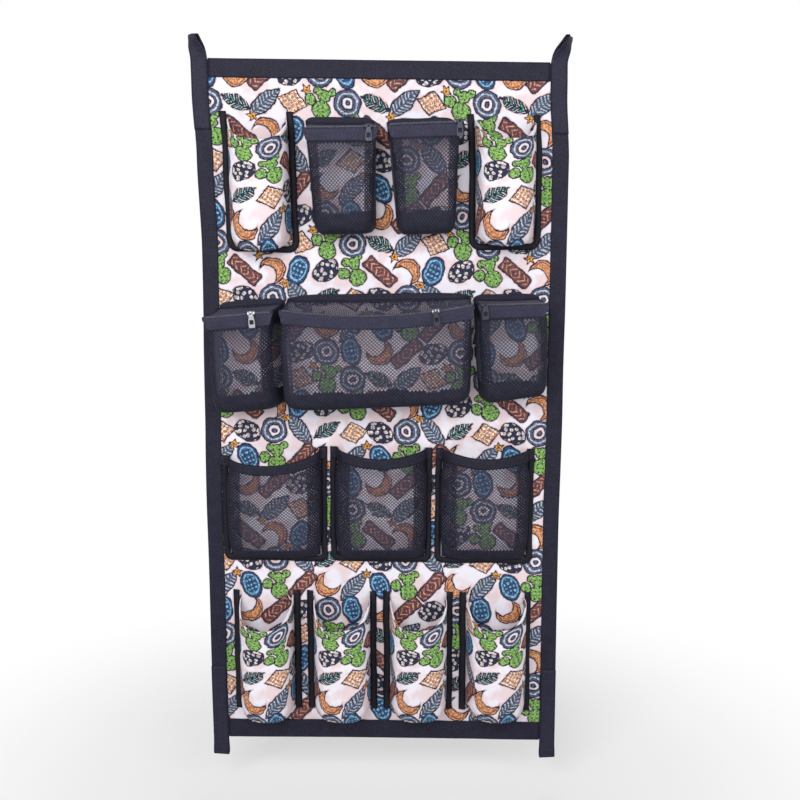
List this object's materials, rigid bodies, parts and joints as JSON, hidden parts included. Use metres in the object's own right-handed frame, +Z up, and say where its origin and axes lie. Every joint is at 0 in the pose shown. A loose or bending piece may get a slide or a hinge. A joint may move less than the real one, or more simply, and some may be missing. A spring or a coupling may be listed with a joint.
{
  "type": "hanging pocket organizer",
  "caption": "Cloth wall panel with open, mesh and zipped pockets that hangs by webbing loops on a trailer or tack room door.",
  "frame": {"origin": "midway between the two upper webbing loops, at the underside of their crowns", "axes": "+Z up as it hangs, -Y to the front where the pockets are, +X to the viewer's right"},
  "size_m": [0.6339, 0.0959, 1.2682],
  "materials": {
    "printed_cloth": "coated woven polyester with an all-over print",
    "binding_cloth": "matte woven binding tape",
    "webbing": "ribbed polypropylene webbing",
    "mesh_cloth": "open diamond mesh",
    "zip_tape": "knitted zip tape with a coil",
    "zip_metal": "plated zip slider and pull"
  },
  "bodies": {
    "root": {"back_panel": "printed_cloth", "binding_left": "binding_cloth", "binding_right": "binding_cloth", "binding_top": "binding_cloth", "binding_bottom": "binding_cloth", "strap_top_left": "webbing", "strap_top_right": "webbing", "strap_bottom_left": "webbing", "strap_bottom_right": "webbing", "bottle_pocket_upper_left_cloth": "printed_cloth", "bottle_pocket_upper_left_tape": "binding_cloth", "bottle_pocket_upper_right_cloth": "printed_cloth", "bottle_pocket_upper_right_tape": "binding_cloth", "bottle_pocket_lower_1_cloth": "printed_cloth", "bottle_pocket_lower_1_tape_left": "binding_cloth", "bottle_pocket_lower_1_tape_right": "binding_cloth", "bottle_pocket_lower_2_cloth": "printed_cloth", "bottle_pocket_lower_2_tape_left": "binding_cloth", "bottle_pocket_lower_2_tape_right": "binding_cloth", "bottle_pocket_lower_3_cloth": "printed_cloth", "bottle_pocket_lower_3_tape_left": "binding_cloth", "bottle_pocket_lower_3_tape_right": "binding_cloth", "bottle_pocket_lower_4_cloth": "printed_cloth", "bottle_pocket_lower_4_tape_left": "binding_cloth", "bottle_pocket_lower_4_tape_right": "binding_cloth", "mesh_pocket_left_net": "mesh_cloth", "mesh_pocket_left_hem": "binding_cloth", "mesh_pocket_left_tape": "binding_cloth", "mesh_pocket_middle_net": "mesh_cloth", "mesh_pocket_middle_hem": "binding_cloth", "mesh_pocket_middle_tape": "binding_cloth", "mesh_pocket_right_net": "mesh_cloth", "mesh_pocket_right_hem": "binding_cloth", "mesh_pocket_right_tape": "binding_cloth", "zip_pocket_upper_left_body": "mesh_cloth", "zip_pocket_upper_left_lid": "mesh_cloth", "zip_pocket_upper_left_zipper": "zip_tape", "zip_pocket_upper_right_body": "mesh_cloth", "zip_pocket_upper_right_lid": "mesh_cloth", "zip_pocket_upper_right_zipper": "zip_tape", "zip_pocket_left_body": "mesh_cloth", "zip_pocket_left_lid": "mesh_cloth", "zip_pocket_left_zipper": "zip_tape", "zip_pocket_middle_body": "mesh_cloth", "zip_pocket_middle_lid": "mesh_cloth", "zip_pocket_middle_zipper": "zip_tape", "zip_pocket_right_body": "mesh_cloth", "zip_pocket_right_lid": "mesh_cloth", "zip_pocket_right_zipper": "zip_tape"},
    "slider_upper_left": {"zip_pocket_upper_left_slider": "zip_metal"},
    "pull_upper_left": {"zip_pocket_upper_left_pull": "zip_metal"},
    "slider_upper_right": {"zip_pocket_upper_right_slider": "zip_metal"},
    "pull_upper_right": {"zip_pocket_upper_right_pull": "zip_metal"},
    "slider_left": {"zip_pocket_left_slider": "zip_metal"},
    "pull_left": {"zip_pocket_left_pull": "zip_metal"},
    "slider_middle": {"zip_pocket_middle_slider": "zip_metal"},
    "pull_middle": {"zip_pocket_middle_pull": "zip_metal"},
    "slider_right": {"zip_pocket_right_slider": "zip_metal"},
    "pull_right": {"zip_pocket_right_pull": "zip_metal"}
  },
  "joints": [
    {"name": "slider_upper_left_travel", "type": "slide", "parent": "root", "child": "slider_upper_left", "axis": [1, 0, 0.0087], "range_m": [-0.10106, 0.00919]},
    {"name": "pull_upper_left_swing", "type": "hinge", "parent": "slider_upper_left", "child": "pull_upper_left", "pos_m": [-0.02252, -0.06769, -0.14997], "axis": [-1, 0, -0.0087], "range_deg": [-10, 200]},
    {"name": "slider_upper_right_travel", "type": "slide", "parent": "root", "child": "slider_upper_right", "axis": [0.9994, 0, 0.0348], "range_m": [-0.1103, 0]},
    {"name": "pull_upper_right_swing", "type": "hinge", "parent": "slider_upper_right", "child": "pull_upper_right", "pos_m": [0.1244, -0.06769, -0.14245], "axis": [-0.9994, 0, -0.0348], "range_deg": [-10, 200]},
    {"name": "slider_left_travel", "type": "slide", "parent": "root", "child": "slider_left", "axis": [0.9965, 0, 0.084], "range_m": [-0.07502, 0.02786]},
    {"name": "pull_left_swing", "type": "hinge", "parent": "slider_left", "child": "pull_left", "pos_m": [-0.21743, -0.07769, -0.4517], "axis": [-0.9965, 0, -0.084], "range_deg": [-10, 200]},
    {"name": "slider_middle_travel", "type": "hinge", "parent": "root", "child": "slider_middle", "pos_m": [-0.03445, -0.0703, 0.49183], "axis": [0, -1, 0], "range_deg": [-14.98, 3.22]},
    {"name": "pull_middle_swing", "type": "hinge", "parent": "slider_middle", "child": "pull_middle", "pos_m": [0.08665, -0.07769, -0.4482], "axis": [-0.9918, 0, -0.1278], "range_deg": [-10, 200]},
    {"name": "slider_right_travel", "type": "slide", "parent": "root", "child": "slider_right", "axis": [0.9996, 0, 0.0281], "range_m": [-0.00427, 0.09828]},
    {"name": "pull_right_swing", "type": "hinge", "parent": "slider_right", "child": "pull_right", "pos_m": [0.16851, -0.07769, -0.43799], "axis": [-0.9996, 0, -0.0281], "range_deg": [-10, 200]}
  ]
}
